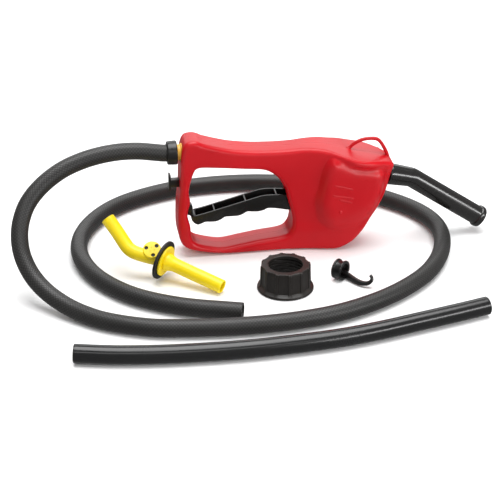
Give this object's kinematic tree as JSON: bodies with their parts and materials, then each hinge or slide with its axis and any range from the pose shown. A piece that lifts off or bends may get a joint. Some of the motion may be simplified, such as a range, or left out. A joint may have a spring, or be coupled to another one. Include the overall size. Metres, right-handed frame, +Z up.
{
  "type": "siphon pump",
  "caption": "Hand-operated siphon transfer pump: clam-shell handle with squeeze trigger and inner pump bulb, suction hose, bent spout, and loose can fittings.",
  "frame": {"origin": "centre of the housing's flat foot, on the surface it stands on", "axes": "+X along the handle towards the spout, +Y across the handle towards its screw side, +Z up"},
  "size_m": [0.6046, 0.4539, 0.156],
  "materials": {
    "housing_red": "moulded glossy polyethylene, red",
    "black_plastic": "moulded black plastic",
    "hose_rubber": "matte black reinforced hose with a fine ribbed braid",
    "collar_plastic": "matte brown-black moulding",
    "yellow_plastic": "moulded yellow plastic",
    "black_rubber": "black nitrile rubber",
    "natural_nylon": "natural nylon",
    "valve_rubber": "blue fluorosilicone valve rubber",
    "zinc_steel": "zinc-plated steel"
  },
  "bodies": {
    "root": {"housing_left": "housing_red", "housing_right": "housing_red", "trigger_pin": "zinc_steel", "return_spring": "zinc_steel", "guide_plate": "natural_nylon", "pump_bulb": "black_rubber", "valve_body": "natural_nylon", "inlet_valve": "valve_rubber", "outlet_valve": "valve_rubber", "inlet_tube": "natural_nylon", "hose_fitting": "yellow_plastic", "fitting_seal": "black_rubber", "hose_ferrule": "black_plastic", "suction_hose": "hose_rubber", "spout": "black_plastic", "spout_seal": "black_rubber", "housing_screw_1": "zinc_steel", "housing_screw_2": "zinc_steel", "housing_screw_3": "zinc_steel", "housing_screw_4": "zinc_steel", "housing_screw_5": "zinc_steel", "housing_screw_6": "zinc_steel", "housing_screw_7": "zinc_steel"},
    "trigger_body": {"trigger": "black_plastic"},
    "push_rod_body": {"push_rod": "natural_nylon"},
    "lock_body": {"trigger_lock": "black_plastic"},
    "collar_body": {"cap_collar": "collar_plastic"},
    "adapter_body": {"can_adapter": "yellow_plastic", "adapter_gasket": "black_rubber"},
    "clip_body": {"hook_clip": "black_plastic"},
    "dip_tube_body": {"dip_tube": "black_plastic"}
  },
  "joints": [
    {"name": "trigger_pivot", "type": "hinge", "parent": "root", "child": "trigger_body", "pos_m": [0.028, 0, 0.068], "axis": [0, 1, 0], "range_deg": [0, 19], "stiffness_Nm_per_rad": 0.8, "springref_deg": -20.05, "deforming": ["return_spring"]},
    {"name": "push_rod_slide", "type": "slide", "parent": "root", "child": "push_rod_body", "axis": [1, 0, 0], "range_m": [0, 0.0085], "deforming": ["pump_bulb"]},
    {"name": "lock_slide", "type": "slide", "parent": "root", "child": "lock_body", "axis": [1, 0, 0], "range_m": [0, 0.0075]},
    {"name": "collar_lift", "type": "slide", "parent": "root", "child": "collar_body", "axis": [0, 0, 1], "range_m": [0, 0.15]},
    {"name": "adapter_lift", "type": "slide", "parent": "root", "child": "adapter_body", "axis": [0, 0, 1], "range_m": [0, 0.05]},
    {"name": "clip_lift", "type": "slide", "parent": "root", "child": "clip_body", "axis": [0, 0, 1], "range_m": [0, 0.15]},
    {"name": "dip_tube_lift", "type": "slide", "parent": "root", "child": "dip_tube_body", "axis": [0, 0, 1], "range_m": [0, 0.15]}
  ],
  "couplings": [
    {"joint": "push_rod_slide", "follows": "trigger_pivot", "m_per_rad": 0.023}
  ]
}
